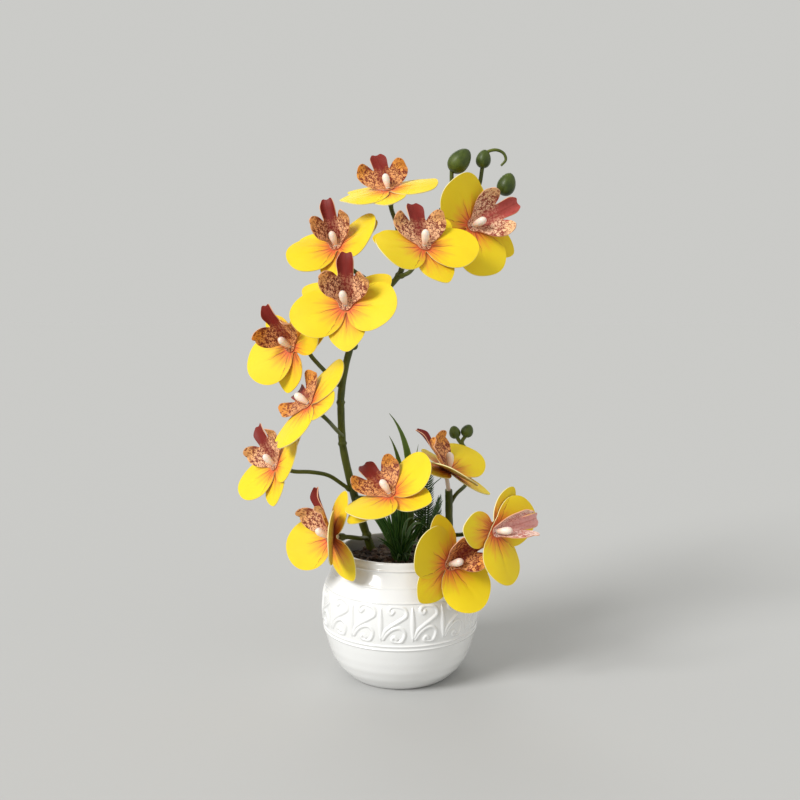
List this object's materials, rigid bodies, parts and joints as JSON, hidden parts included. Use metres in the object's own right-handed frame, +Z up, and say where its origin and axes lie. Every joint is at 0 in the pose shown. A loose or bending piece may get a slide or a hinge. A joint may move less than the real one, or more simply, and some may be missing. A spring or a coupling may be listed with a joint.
{
  "type": "potted orchid",
  "caption": "Potted moth orchid with yellow blooms on two green spikes, a grass tuft and fern fronds, set in bark in a round white pot with a raised scroll band.",
  "frame": {"origin": "centre of the pot's flat underside, on the surface the pot stands on", "axes": "+Z up; -Y is the front, the side the picture shows; +X is the viewer's right"},
  "size_m": [0.2061, 0.1375, 0.368],
  "materials": {
    "pot": "gloss",
    "core": "matte",
    "bark": "matte",
    "stem": "satin",
    "grass": "satin",
    "fern": "satin",
    "petal": "matte",
    "lip": "matte",
    "column": "satin"
  },
  "bodies": {
    "root": {"pot": "pot", "planting_core": "core", "bark": "bark", "bloom_01_sepals": "petal", "bloom_01_petals": "petal", "bloom_01_lip": "lip", "bloom_01_column": "column", "bloom_02_sepals": "petal", "bloom_02_petals": "petal", "bloom_02_lip": "lip", "bloom_02_column": "column", "bloom_03_sepals": "petal", "bloom_03_petals": "petal", "bloom_03_lip": "lip", "bloom_03_column": "column", "bloom_04_sepals": "petal", "bloom_04_petals": "petal", "bloom_04_lip": "lip", "bloom_04_column": "column", "bloom_05_sepals": "petal", "bloom_05_petals": "petal", "bloom_05_lip": "lip", "bloom_05_column": "column", "bloom_06_sepals": "petal", "bloom_06_petals": "petal", "bloom_06_lip": "lip", "bloom_06_column": "column", "bloom_07_sepals": "petal", "bloom_07_petals": "petal", "bloom_07_lip": "lip", "bloom_07_column": "column", "bloom_08_sepals": "petal", "bloom_08_petals": "petal", "bloom_08_lip": "lip", "bloom_08_column": "column", "bloom_09_sepals": "petal", "bloom_09_petals": "petal", "bloom_09_lip": "lip", "bloom_09_column": "column", "bloom_10_sepals": "petal", "bloom_10_petals": "petal", "bloom_10_lip": "lip", "bloom_10_column": "column", "bloom_11_sepals": "petal", "bloom_11_petals": "petal", "bloom_11_lip": "lip", "bloom_11_column": "column", "bloom_12_sepals": "petal", "bloom_12_petals": "petal", "bloom_12_lip": "lip", "bloom_12_column": "column", "bloom_13_sepals": "petal", "bloom_13_petals": "petal", "bloom_13_lip": "lip", "bloom_13_column": "column", "spike_tall": "stem", "spike_short": "stem", "grass_tuft": "grass", "fern": "fern"}
  },
  "joints": []
}
